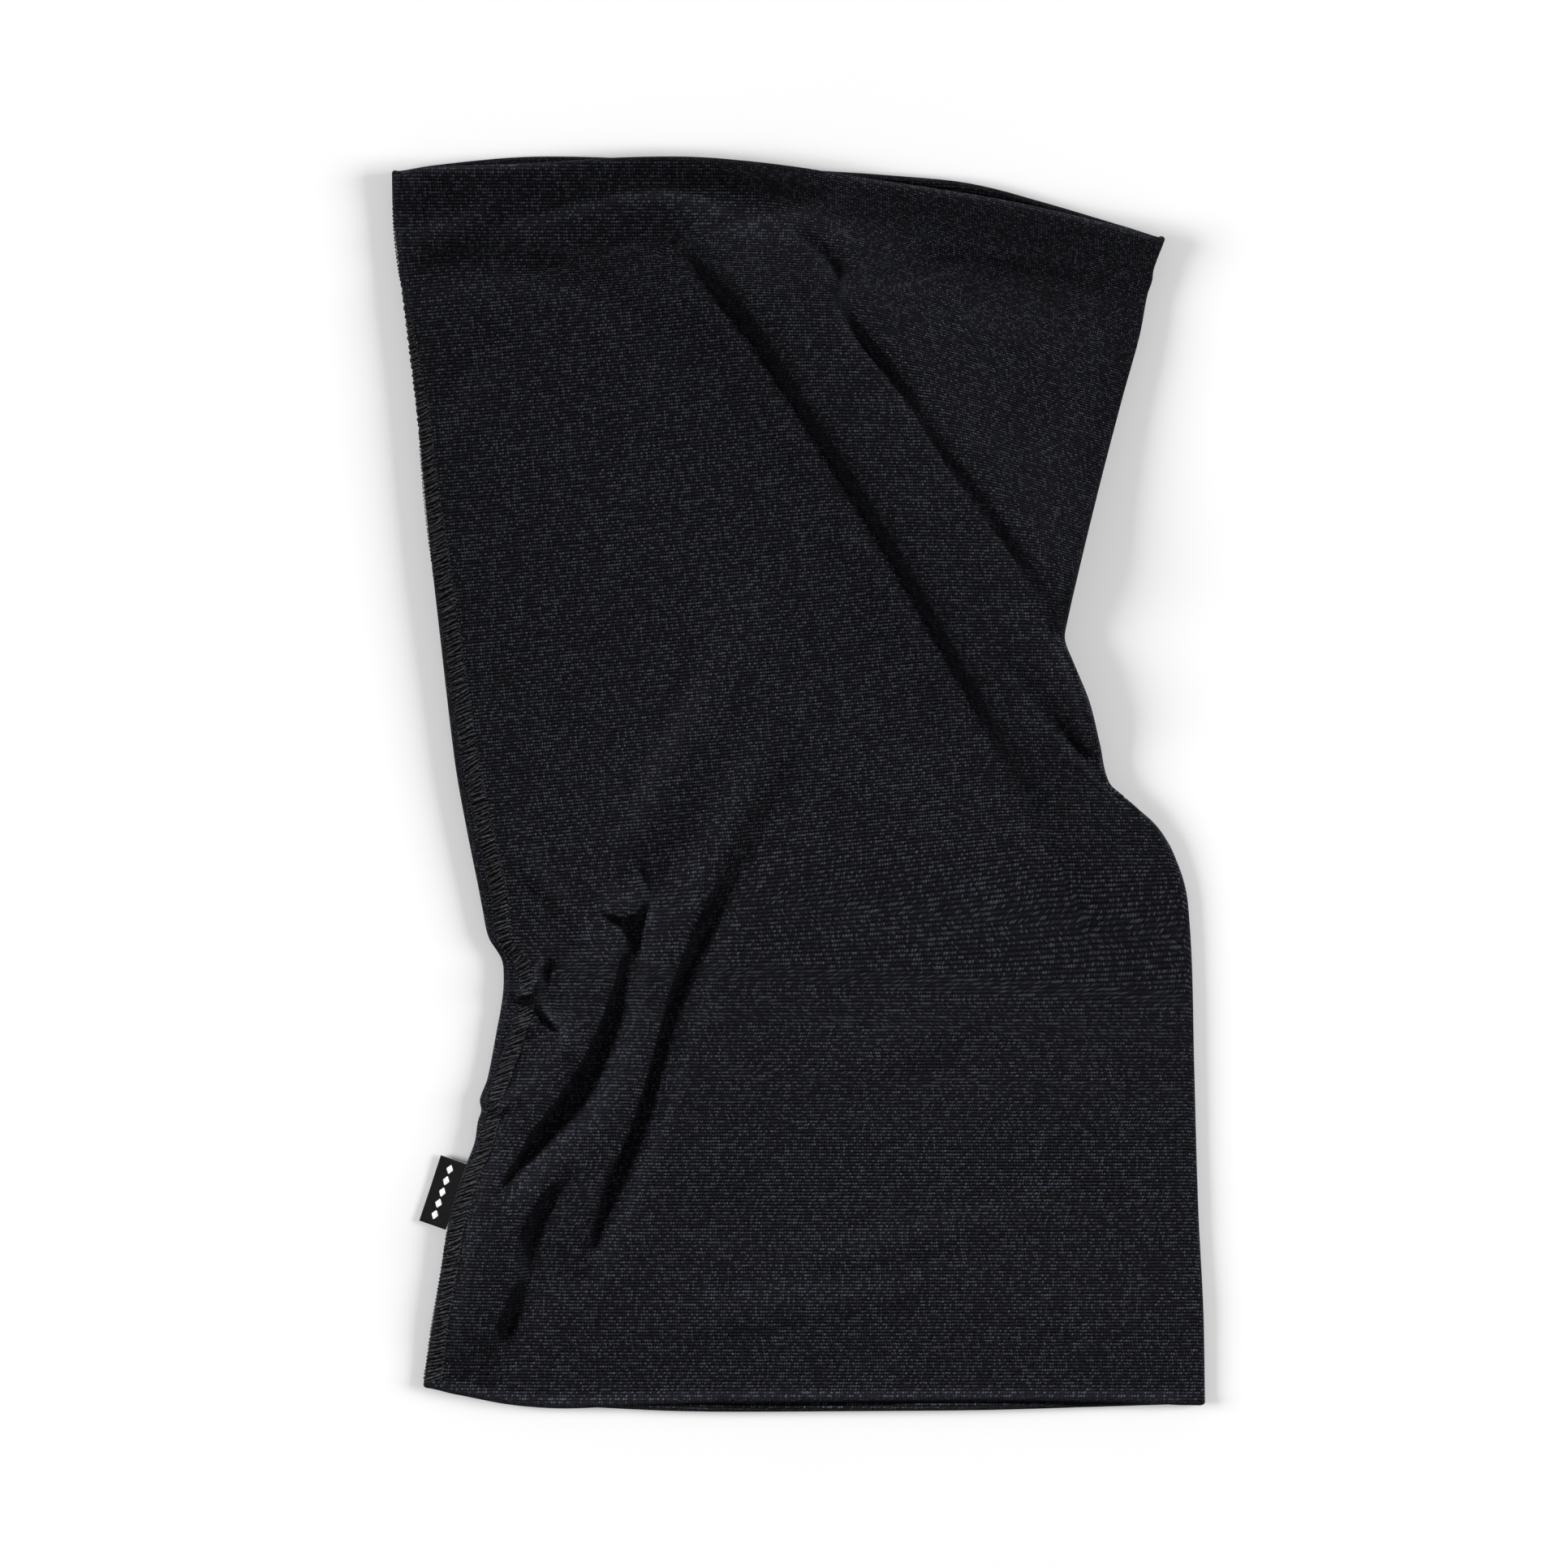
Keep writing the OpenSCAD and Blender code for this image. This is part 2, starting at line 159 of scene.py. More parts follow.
# ---- Folds ----
# Each row is (x, y, height, width of the left flank, width of the right flank, overhang to the right).
# Left and right are as seen walking along the line. A narrow flank is a lip that drops sharply, and
# one with an overhang lies over the cloth beside it.
FOLDS = {
    # The crest of the long diagonal roll, which starts as a shelf under the top hem.
    "roll": [
        (-97, 171, 0, 8, 14, 0), (-88, 172.5, 1.2, 6, 14, 0), (-73, 177.5, 2, 5, 15, 0),
        (-56, 182, 2.4, 4.5, 16, 0), (-42, 183, 3, 5, 14, 0), (-32.6, 179.2, 4.2, 7, 11, 0),
        (-27.4, 170, 5.6, 20, 9, 0), (-20, 160, 6.4, 44, 8.4, 0), (-11.8, 151, 6.8, 54, 8.4, 0),
        (3.8, 127, 6.9, 60, 8.4, 0), (14.6, 110, 6.9, 62, 8.4, 0), (32.2, 82, 6.9, 62, 8.4, 0),
        (50.2, 51, 6.8, 60, 8.6, 0), (68.6, 18, 6, 52, 9, 0), (79.6, -3.2, 4.4, 42, 10, 0),
        (91.4, -22.4, 3, 26, 11, 0), (99.6, -42, 1.6, 16, 12, 0), (103, -72, 0, 12, 12, 0)],
    # The edge of the cloth to the upper right of the roll. Its steep side faces the roll.
    "flap_lip": [
        (91, 42, 4.2, 5, 46, -0.6), (86, 49, 4.6, 5, 52, -0.7), (78.4, 63, 5, 5.2, 64, -0.8),
        (72.4, 73.5, 5, 5.2, 64, -0.8), (62, 87.6, 4.8, 5.4, 64, -0.8), (49, 106.6, 4.6, 5.4, 60, -0.8),
        (37, 125, 4.4, 5.2, 52, -0.8), (20, 146.6, 4, 5, 38, -1), (16.6, 154, 3.8, 4.6, 30, -1.2),
        (16, 161, 2.8, 4.6, 24, -1), (11.2, 169, 1.8, 5, 18, -0.4), (1, 178, 0.8, 5, 13, 0),
        (-8, 184, 0, 6, 9, 0)],
    # The small flap at the waist, in the same way.
    "waist_lip": [
        (113, 1.4, 3.8, 7, 24, 0), (104.4, 8.2, 3.8, 7, 24, 0), (97.4, 14.6, 3.6, 7, 24, 0),
        (89, 22.4, 3.2, 7, 22, 0), (83.2, 29.4, 2.6, 7, 20, 0), (77.2, 37.6, 1.8, 7, 18, 0),
        (71.4, 46, 1, 8, 14, 0), (67, 56, 0, 10, 10, 0)],
    # The rims of the cloth below those two edges, which stand up where they meet the silhouette.
    "roll_rim": [
        (74, 61, 0, 3, 1.2, 0), (79, 53, 0.7, 4, 1.2, 0.2), (83, 45.5, 1.4, 4, 1.2, 0.3)],
    "waist_rim": [
        (84, 11, 0, 4, 1.2, 0.2), (90.5, 5.2, 1, 4, 1.2, 0.4), (95, 1, 0.9, 4, 1.2, 0.3),
        (98.6, -2.4, 0, 4, 1.2, 0)],
    # The two long creases towards the lower left.
    "long_crease": [
        (-66.4, -156, 0, 12, 3, 0), (-67, -149, 1.4, 13, 2.6, 0.8), (-66.6, -140, 2.3, 14, 2.4, 1.6),
        (-62.8, -125, 3.1, 15, 2.2, 2.3), (-54.6, -104.6, 3.6, 15, 2.2, 2.6), (-48.4, -84, 4, 14, 2.2, 2.7),
        (-42.6, -63.6, 4.3, 14, 3, 2.2), (-34.2, -45, 4.6, 14, 6, 0.8), (-23.2, -22.4, 4.2, 14, 7.4, 0.2),
        (-13.8, 0, 3.2, 13, 8.6, 0), (-8, 18, 1.5, 12, 11, 0), (-4, 34, 0, 12, 11, 0)],
    "seam_crease": [
        (-98, -133, 0, 9, 2.5, 0), (-93, -122, 1.8, 10, 2.2, 0.9), (-84.2, -106.4, 2.8, 12, 2.2, 1.5),
        (-76, -95, 3.6, 14, 2.2, 2.1), (-67.8, -81.2, 4.4, 15, 2.6, 2.3), (-62.6, -68.4, 4.8, 15, 3.2, 2.2),
        (-58.4, -56.4, 4.6, 14, 3.6, 1.6), (-57.8, -49, 3.4, 12, 3.8, 1), (-59, -43, 1.8, 10, 4, 0.4),
        (-61, -37, 0, 8, 4, 0)],
    # The tongue of cloth above that crease. Its edge curls round from the crease and up the panel.
    "hook": [
        (-68, -35, 0, 10, 4, 0), (-63, -37.4, 0.8, 10, 3.5, 0.2), (-58.6, -39.3, 2.8, 10, 3, 1),
        (-53, -40, 3.6, 9, 2.8, 1), (-50.4, -37, 2, 9, 3, 0.4), (-50.6, -31, 0, 9, 3, 0)],
    "hook_groove": [
        (-54, 4, 0, 3, 3, 0), (-52.8, -10, -1.4, 3, 3, 0), (-51.6, -22, -2.6, 3, 3, 0),
        (-49.6, -28, -3.4, 3, 3, 0), (-47.2, -34.5, -4, 3, 3, 0), (-48.4, -41, -3.6, 3, 3, 0),
        (-53, -45.5, -2, 3, 3, 0), (-55, -52, 0, 3, 3, 0)],
    "low_crease": [
        (-94, -188, 0, 16, 8, 0), (-96.4, -180, 1.8, 20, 7, 0.2), (-97.4, -172.6, 3.6, 24, 6.2, 0.6),
        (-94.4, -164.6, 4.4, 26, 6, 0.8), (-91.4, -157, 4.8, 26, 6, 0.9), (-90.8, -149, 5, 26, 6, 1),
        (-89.4, -141, 5, 26, 6, 1), (-85.6, -133.4, 4.6, 24, 5.6, 0.8), (-80.6, -127, 3.4, 18, 5.4, 0.5),
        (-75, -121.5, 1.8, 12, 5, 0.1), (-67, -115, 0, 8, 5, 0)],
    # The broken crease from the seam into the lower long one.
    "pucker_1": [
        (-95, -66.5, 1, 2.6, 2, 0.2), (-90, -66, 3, 2.8, 2, 0.5), (-85, -65, 2.4, 3, 2, 0.4),
        (-82, -62, 0.6, 3, 2, 0)],
    "pucker_2": [
        (-80.2, -55.5, 0.6, 3, 2, 0), (-81.8, -60, 3.2, 4, 1.8, 0.9), (-81.8, -67, 3.6, 4, 1.8, 0.9),
        (-78.6, -72.4, 2.6, 4, 2, 0.8), (-74.2, -76, 3, 4, 2, 0.8), (-73, -80, 3.2, 4, 2, 0.8),
        (-73.8, -87, 0.8, 4, 3, 0)],
    "pucker_3": [
        (-79, -78, 0, 3, 2.4, 0), (-86, -76, 1, 3, 2.6, 0), (-92, -75, 0, 3, 3, 0)],
    "pucker_4": [
        (-101, -104, 1, 3.5, 2.4, 0), (-96, -102, 2.4, 4, 2.4, 0.3), (-90, -99, 1.4, 4, 3, 0),
        (-84, -96, 0, 4, 3, 0)],
    "seam_side": [
        (-90, -8, 0, 4, 4, 0), (-88.4, -18, 1, 4, 4, 0), (-85, -27, 1.6, 5, 3.6, 0.1),
        (-74.6, -38.5, 1.7, 5, 3.4, 0.1), (-68, -50, 1.2, 5, 4, 0), (-64, -60, 0, 5, 4, 0)],
}
# Softer rises and hollows, as (x, y, height, width of the left flank, width of the right flank).
SWELLS = {
    "bunch": [
        (-30, 12, 0, 30, 30), (-50, -28, 1.6, 34, 34), (-62, -70, 2.2, 34, 36), (-74, -105, 2.2, 28, 36),
        (-88, -140, 1.2, 20, 34), (-96, -168, 0, 16, 30)],
    "pucker_hollow": [
        (-78, -54.5, 0, 2.4, 2.4), (-78.9, -59, -5, 2.4, 2.4), (-79, -65, -6.5, 2.6, 2.4),
        (-78, -70, -5, 2.4, 2.2), (-74.8, -74.4, -2.6, 2.4, 2.2), (-71, -80, 0, 2.4, 2.2)],
    "beside_long_crease": [
        (-68.4, -160, 0, 6, 9), (-63.6, -142, -2.8, 6, 9), (-56.8, -125, -4, 7, 9.6),
        (-47.8, -104, -4.6, 7, 9.6), (-41.2, -84, -4.6, 7, 9.6), (-35.6, -64, -4.2, 7, 9.6),
        (-28.6, -45, -3, 6, 9), (-17.6, -20, -1.4, 6, 12), (-5, 12, 0, 6, 12)],
    "beside_low_crease": [
        (-88, -186, 0, 5, 10), (-90.2, -179.4, -1.2, 5, 12), (-91.6, -172.4, -2.2, 5, 13),
        (-88.4, -164.4, -2.6, 5, 14), (-85.4, -157.4, -2.8, 5, 14), (-84.6, -149, -2.8, 5, 14),
        (-83.4, -140.4, -2.8, 5, 13), (-79.6, -132, -2.4, 5, 11), (-74.8, -125.4, -1.4, 5, 8),
        (-68, -118, 0, 4, 6)],
    "beside_seam_crease": [
        (-94, -131, 0, 5, 7), (-87.6, -121.4, -2.8, 5, 9), (-78.6, -107.4, -4, 5, 10),
        (-67.2, -95.4, -4.4, 6, 12), (-58.6, -80.2, -4.7, 6, 11), (-54.4, -67, -4.8, 5, 10),
        (-52, -56, -4.8, 5, 6), (-50.4, -47, -3.4, 4, 5), (-50, -40, 0, 4, 4)],
    "roll_tail": [
        (-44, 180, 0, 12, 16), (-28, 169, 1.8, 24, 22), (-12.6, 150, 3, 60, 25), (13.8, 109, 3.2, 70, 26),
        (31.4, 81, 3.2, 70, 26), (49.4, 50, 3, 70, 24), (68, 17.2, 2, 50, 22), (80, -4, 0, 26, 20)],
    "under_roll": [
        (-37, 169.4, 0, 3.6, 8), (-33, 163.4, -1, 3.6, 8), (-18.2, 146.2, -1.8, 3.6, 8),
        (-2.8, 122.7, -2, 3.6, 8), (8, 105.7, -2, 3.6, 8), (25.6, 77.7, -2, 3.6, 8),
        (43.6, 46.7, -2, 3.6, 8), (62, 14, -1.6, 4, 8), (73, -7, -0.9, 4, 9), (80, -22, 0, 4, 9)],
    "under_flap": [
        (84, 46, -1.8, 3, 3.5), (76, 61.3, -1.6, 4, 3.6), (59.4, 85.8, -1.6, 4, 3.6),
        (44, 106, -1.6, 4, 3.6), (33.5, 123.4, -1.8, 4, 3.6), (16.4, 144.3, -3, 4, 4),
        (12.6, 152, -5, 3.8, 4), (13, 160, -4.6, 3.8, 4), (8, 167, -2.2, 3.6, 4), (-3, 176, -0.8, 3, 4),
        (-12, 182, 0, 3, 4)],
    "under_waist": [
        (104, -4.6, -2, 2, 4), (97.2, 1.3, -2, 2, 4), (90.2, 7.7, -1.8, 2, 4), (82.1, 15.9, -1.5, 2, 4),
        (76.3, 22.8, -1.2, 2, 4), (70.4, 31, -0.8, 2.4, 4), (64.5, 39.2, -0.4, 3, 4), (60, 48, 0, 3, 4)],
    "corner_shelf": [
        (-124, 166, 0, 7, 8), (-116, 172, 1.8, 6, 8), (-106, 175, 1.8, 6, 8), (-98, 181, 1.4, 6, 7),
        (-92, 188, 0, 5, 7)],
    "under_corner": [
        (-122, 158, -1, 9, 9), (-106, 162, -1.6, 9, 9), (-90, 163, -1.6, 9, 9), (-70, 158, -1.4, 9, 10),
        (-48, 145, -0.8, 9, 12), (-30, 128, 0, 9, 10)],
    "top_hollow": [
        (-62, 188, 0, 8, 6), (-40, 188.5, -1, 8, 5), (-15, 186, -1.6, 8, 8), (8, 180, -1.4, 8, 9),
        (26, 174, 0, 8, 9)],
    "left_hollow": [
        (-116, 112, 0, 9, 9), (-108, 124, -1.2, 9, 9), (-98, 136, -1.2, 9, 9), (-90, 144, 0, 9, 9)],
    "right_hem_shade": [
        (36, 165, 0, 8, 20), (46, 163, -1.4, 9, 21), (62, 160, -2.6, 9, 22), (80, 157.4, -2.6, 9, 22),
        (96, 154, -1.6, 8, 21), (110, 151, -0.5, 7, 20)],
    "left_of_middle": [
        (-14, 66, 0, 20, 14), (-22, 36, 2.6, 22, 12), (-37, 9, 3.8, 22, 11), (-48, -12, 3.2, 17, 9),
        (-55, -30, 0, 10, 9)],
    "panel_fold_1": [
        (13, 6, 0, 6, 6), (13, -12, -1, 6, 6), (14, -36, -1, 6, 6), (13, -60, 0, 6, 6)],
    "panel_fold_2": [
        (-4, 8, 0, 5, 6), (-1, -6, -1, 5, 6), (-2, -24, -0.9, 5, 6), (-4, -44, 0, 5, 6)],
    "low_wave_1": [
        (0, -143, 0, 9, 9), (12, -148, 1, 9, 9), (40, -143, 1, 9, 9), (68, -136, 0.7, 9, 9),
        (90, -128, 0, 9, 9)],
    "low_wave_2": [
        (-40, -172, 0, 9, 9), (-20, -167, 0.9, 9, 9), (8, -162, 0.9, 9, 9), (36, -158, 0.7, 9, 9),
        (60, -150, 0, 9, 9)],
    "low_wave_3": [
        (4, -94, 0, 10, 10), (22, -88, 0.8, 10, 10), (44, -78, 0.7, 10, 10), (60, -72, 0, 10, 10)],
}
# Which side's foot the grid is drawn to: 0 is the crest itself, -1 and 1 the left and right feet.
MAGNETS = {"roll": 1, "flap_lip": -1, "waist_lip": -1, "long_crease": 0, "seam_crease": 0, "pucker_2": 0,
           "hook": 0, "hook_groove": 0}
MAGNET_REACH = 7.0  # how far from a line the grid is drawn towards it
MAGNET_POWER = 1.7  # 1 leaves the grid even, and more draws it closer
MAGNET_FOOT = 0.85  # where on a flank its foot is, as a share of the flank's width
SHARP_FLANK = 12.0  # a flank narrower than this has the sharper foot
SHARP_FOOT = 1.25
BACK_MID = FABRIC_T / 2
LEAST_FRONT = BACK_MID + 4 * FABRIC_T * 0.98  # lowest the front lies: over the back and both hems
LOOSE_FRONT = 5.4  # height of the front layer away from the mouths
MOUTH_FRONT = 3.4  # height of the front layer at the bottom mouth
TOP_RIM = 3.2  # how far the front layer's rim stands above the hollow behind it at the top mouth
TOP_RIM_DEPTH = 16.0
EDGE_RAMP = 9.0  # width over which the cloth comes down to its left edge
# The same on the right, as (y, width): the two edges of cloth at the waist reach the silhouette.
RIGHT_RAMP = [(-194, 9), (-40, 9), (-22, 6), (-8, 3.5), (10, 4.5), (24, 6.5), (38, 4), (54, 4),
              (78, 8), (172, 9)]
# How much of the cloth's height beside it the right edge keeps, as (y, share).
RIGHT_SHARE = [(-194, 0.45), (-40, 0.5), (-12, 0.8), (60, 0.8), (100, 0.7), (172, 0.6)]
# How far each side edge is held off the floor, as (y, lift).
LEFT_LIFT = [(-189, 0.4), (-150, 0.3), (-110, 0.5), (-60, 1.6), (0, 3.2), (80, 4.2), (150, 4.4), (193, 3.2)]
RIGHT_LIFT = [(-194, 0.3), (-120, 0.2), (-40, 0.2), (0, 0.6), (40, 1.6), (80, 4), (130, 5), (172, 3.6)]
SIDE_REACH = 26.0  # width over which that lift fades out
EDGE_ROUND = 1.7  # greatest half width of the fold at a side edge
EDGE_PULL = 12.0  # width over which the cloth is drawn in to make room for that fold
BACK_CURL = 2.9  # how far the back layer's rim curls up past the front one at the bottom mouth
# The same at the top mouth, as (x, rise).
BACK_TOP_CURL = [(-128, 0), (-30, 0), (10, 1.4), (40, 2.6), (128, 2.6)]
# How far the front layer's rim turns down at the top mouth, as (x, drop).
TOP_TURN = [(-128, 0.8), (-92, 1.4), (-65, 0), (0, 0), (25, 1.5), (128, 1.5)]
RIM_CURL = 1.4  # how far the front layer's rim turns up at the bottom mouth
RIM_ROUND = 0.6  # how much thicker a hem is at its fold
HEM_STEP = 0.1  # how much the doubled cloth of a hem stands out


def bump(x, foot=2.0):
    """1 at 0 and 0 from 1 on. A foot under 2 makes a rounder shoulder with a sharper foot."""
    x = np.clip(np.abs(x), 0, 1)
    return (1 - x * x) ** foot


def flanked(d, value, foot=2.0):
    """Height of a fold at signed distance d from its crest. A narrow flank has the sharper foot."""
    left, right = d / value[..., 1], d / value[..., 2]
    sharp_left = np.where(value[..., 1] < SHARP_FLANK, foot, 2.0)
    sharp_right = np.where(value[..., 2] < SHARP_FLANK, foot, 2.0)
    return value[..., 0] * np.where(d < 0, bump(left, sharp_left), bump(right, sharp_right))


def drape(x, y):
    """Where the front layer's cloth goes: plan positions drawn to the fold lines, height and overhang."""
    lines = {name: Line(rows) for name, rows in FOLDS.items()}
    for name, foot in MAGNETS.items():
        d, value, nx, ny = lines[name].near(x, y)
        d = d - foot * MAGNET_FOOT * value[..., 2 if foot > 0 else 1]
        reach = np.minimum(np.abs(d) / MAGNET_REACH, 1)
        pulled = np.sign(d) * MAGNET_REACH * reach ** MAGNET_POWER
        pulled = np.where(np.abs(d) < MAGNET_REACH, pulled, d)
        share = smooth(np.abs(value[..., 0]) / 1.5)
        x, y = x + nx * (pulled - d) * share, y + ny * (pulled - d) * share
    loose = mix(MOUTH_FRONT, LOOSE_FRONT, smooth((y + 192) / 30))
    z = loose + 0.35 * waves(x, y, 3, 95) + 0.1 * waves(x, y, 5, 30)
    z = z + TOP_RIM * (1 - smooth((curve(FRONT_TOP, x) - y) / TOP_RIM_DEPTH))
    z = z - curve(TOP_TURN, x) * (1 - smooth((curve(FRONT_TOP, x) - y) / 1.3))
    z = z + RIM_CURL * (1 - smooth((y - curve(FRONT_BOTTOM, x)) / 2.6))
    over_x, over_y = np.zeros(x.shape), np.zeros(x.shape)
    for name, line in lines.items():
        d, value, nx, ny = line.near(x, y)
        z = z + flanked(d, value, SHARP_FOOT)
        way = np.sign(value[..., 3])
        push = value[..., 3] * np.exp(-((d + 0.5 * way) / 1.5) ** 2)
        over_x, over_y = over_x + nx * push, over_y + ny * push
    for rows in SWELLS.values():
        d, value, _, _ = Line(rows).near(x, y)
        z = z + flanked(d, value)
    return x, y, z, over_x, over_y


def flat_front():
    """Plan positions of the front layer before draping: rows of the knit run from edge to edge."""
    t = np.linspace(0, 1, ROWS)[:, None]
    s = np.linspace(0, 1, FRONT_COLS)[None, :]
    return between(t, s, FRONT_BOTTOM, FRONT_TOP)


def side_edges(t):
    left_y = mix(LEFT_EDGE[0][0], LEFT_EDGE[-1][0], t)
    right_y = mix(RIGHT_EDGE[0][0], RIGHT_EDGE[-1][0], t)
    return curve(LEFT_EDGE, left_y), left_y, curve(RIGHT_EDGE, right_y), right_y


def between(t, s, bottom, top):
    """Plan position at share t of the length and s of the width, fitted to the two mouths."""
    lx, ly, rx, ry = side_edges(t)
    x, y = mix(lx, rx, s), mix(ly, ry, s)
    lx1, ly1, rx1, ry1 = side_edges(1.0)
    lx0, ly0, rx0, ry0 = side_edges(0.0)
    bow_top = curve(top, mix(lx1, rx1, s)) - mix(ly1, ry1, s)
    bow_bottom = curve(bottom, mix(lx0, rx0, s)) - mix(ly0, ry0, s)
    return x, y + bow_top * t ** 1.6 + bow_bottom * (1 - t) ** 6


def tube_rings():
    """The tube's middle surface as rings of points, ring by ring: front, right fold, back, left fold."""
    t = np.linspace(0, 1, ROWS)[:, None]
    lx, ly, rx, ry = side_edges(t)
    x0, y0 = flat_front()
    x, y, z, over_x, over_y = drape(x0, y0)
    across_x, across_y = rx - lx, ry - ly
    width = np.hypot(across_x, across_y)
    across_x, across_y = across_x / width, across_y / width
    from_left = (x - lx) * across_x + (y - ly) * across_y
    from_right = width - from_left
    lift_left, lift_right = curve(LEFT_LIFT, ly), curve(RIGHT_LIFT, ry)
    lift = lift_left * smooth(1 - from_left / SIDE_REACH) + lift_right * smooth(1 - from_right / SIDE_REACH)
    z = np.maximum(z, LEAST_FRONT) + lift
    z_left = mix(LEAST_FRONT + lift_left, z[:, :12].mean(1, keepdims=True), 0.45)
    z_right = mix(LEAST_FRONT + lift_right, z[:, -12:].mean(1, keepdims=True), curve(RIGHT_SHARE, ry))
    near_left, near_right = smooth(from_left / EDGE_RAMP), smooth(from_right / curve(RIGHT_RAMP, ry))
    z = mix(z_left, z, near_left)
    z = mix(z_right, z, near_right)
    fade = near_left * near_right
    x, y = x + over_x * fade, y + over_y * fade

    def fold(edge_x, edge_y, top, lift_here, way):
        """Half an ellipse round a side edge, from its underside (turn 0) to its top (turn pi)."""
        bottom = BACK_MID + lift_here
        half_h = (top - bottom) / 2
        half_w = np.minimum(half_h, EDGE_ROUND)
        turn = np.linspace(0, math.pi, FOLD_COLS + 2)[None, 1:-1]
        reach = half_w * (1 - np.sin(turn)) * way
        return (edge_x + across_x * reach, edge_y + across_y * reach, bottom + half_h * (1 - np.cos(turn)))

    half_left = np.minimum((z_left - BACK_MID - lift_left) / 2, EDGE_ROUND)
    half_right = np.minimum((z_right - BACK_MID - lift_right) / 2, EDGE_ROUND)
    pull = half_left * smooth(1 - from_left / EDGE_PULL) - half_right * smooth(1 - from_right / EDGE_PULL)
    x, y = x + across_x * pull, y + across_y * pull
    front = np.stack([x, y, z], -1)

    s = (1 - np.cos(np.linspace(0, math.pi, BACK_COLS))) / 2 * 0.5 + np.linspace(0, 1, BACK_COLS) * 0.5
    bx, by = between(t, s[None, :], BACK_BOTTOM, BACK_TOP)
    b_left = (bx - lx) * across_x + (by - ly) * across_y
    b_right = width - b_left
    bz = BACK_MID + lift_left * smooth(1 - b_left / SIDE_REACH)
    bz = bz + lift_right * smooth(1 - b_right / SIDE_REACH)
    bz = bz + BACK_CURL * smooth((-193.5 - by) / 1.7)
    bz = bz + curve(BACK_TOP_CURL, bx) * smooth((by - curve(FRONT_TOP, bx) + 0.6) / 2.8)
    pull = half_left * smooth(1 - b_left / EDGE_PULL) - half_right * smooth(1 - b_right / EDGE_PULL)
    bx, by = bx + across_x * pull, by + across_y * pull
    back = np.stack([bx, by, bz + 0 * bx], -1)[:, ::-1]
    right = np.stack(fold(rx, ry, z_right, lift_right, -1), -1)[:, ::-1]
    left = np.stack(fold(lx, ly, z_left, lift_left, 1), -1)
    return np.concatenate([front, right, back, left], 1)


# ---- The tube's cloth ----

def mesh_object(name, points, faces, smooth_shading=True):
    mesh = bpy.data.meshes.new(name)
    points, faces = np.asarray(points, float).reshape(-1, 3) * MM, np.asarray(faces, np.int32)
    mesh.vertices.add(len(points))
    mesh.vertices.foreach_set("co", points.ravel())
    mesh.loops.add(faces.size)
    mesh.loops.foreach_set("vertex_index", faces.ravel())
    mesh.polygons.add(len(faces))
    mesh.polygons.foreach_set("loop_start", np.arange(0, faces.size, faces.shape[1], dtype=np.int32))
    mesh.update(calc_edges=True)
    mesh.validate()
    mesh.polygons.foreach_set("use_smooth", np.full(len(mesh.polygons), smooth_shading))
    o = bpy.data.objects.new(name, mesh)
    bpy.context.scene.collection.objects.link(o)
    return o


def ring_faces(rows, n):
    """Faces of a tube of rings of n points each, seen from outside anticlockwise."""
    j, k = np.meshgrid(np.arange(rows - 1), np.arange(n), indexing="ij")
    k1 = (k + 1) % n
    return np.stack([j * n + k, j * n + k1, (j + 1) * n + k1, (j + 1) * n + k], -1).reshape(-1, 4)


def ring_normals(rings):
    """Outward normals of a tube of rings."""
    around = np.roll(rings, -1, 1) - np.roll(rings, 1, 1)
    along = np.gradient(rings, axis=0)
    n = np.cross(around, along)
    return n / np.maximum(np.linalg.norm(n, axis=-1, keepdims=True), 1e-9)


ROWS_RISE = math.tan(math.radians(5.5))  # slope of the knit's rows beside the seam
ROWS_FALL = math.tan(math.radians(17))  # and, downwards, on the flap


def knit_coordinates(rings):
    """Where each point lies in the knitted panel: (distance round the tube, distance along it). The rows
    rise to the right beside the seam and fall to the right on the flap, as the twist draws them."""
    step = np.linalg.norm(np.diff(rings, axis=1, append=rings[:, :1]), axis=-1)
    round_it = np.concatenate([np.zeros((len(rings), 1)), np.cumsum(step, 1)[:, :-1]], 1)
    along = np.broadcast_to(np.linspace(0, TUBE_LENGTH, len(rings))[:, None], round_it.shape).copy()
    front = rings[:, :FRONT_COLS]
    x, y = front[..., 0], front[..., 1]
    from_roll = Line(FOLDS["roll"]).near(x, y)[0]
    from_flap = Line(FOLDS["flap_lip"]).near(x, y)[0]
    left_share = smooth((from_roll - 6) / 14) * smooth((y + 70) / 60)
    flap_share = smooth((from_flap + 6) / 14) * smooth((y - 20) / 40)
    slope = ROWS_RISE * left_share - ROWS_FALL * flap_share
    dx, dy = np.gradient(x, axis=1), np.gradient(y, axis=1)
    shift = np.cumsum(dy - slope * dx, 1)
    along[:, :FRONT_COLS] += shift
    rest = np.linspace(1, 0, rings.shape[1] - FRONT_COLS + 1)[None, 1:]
    along[:, FRONT_COLS:] += shift[:, -1:] * rest
    return round_it, along


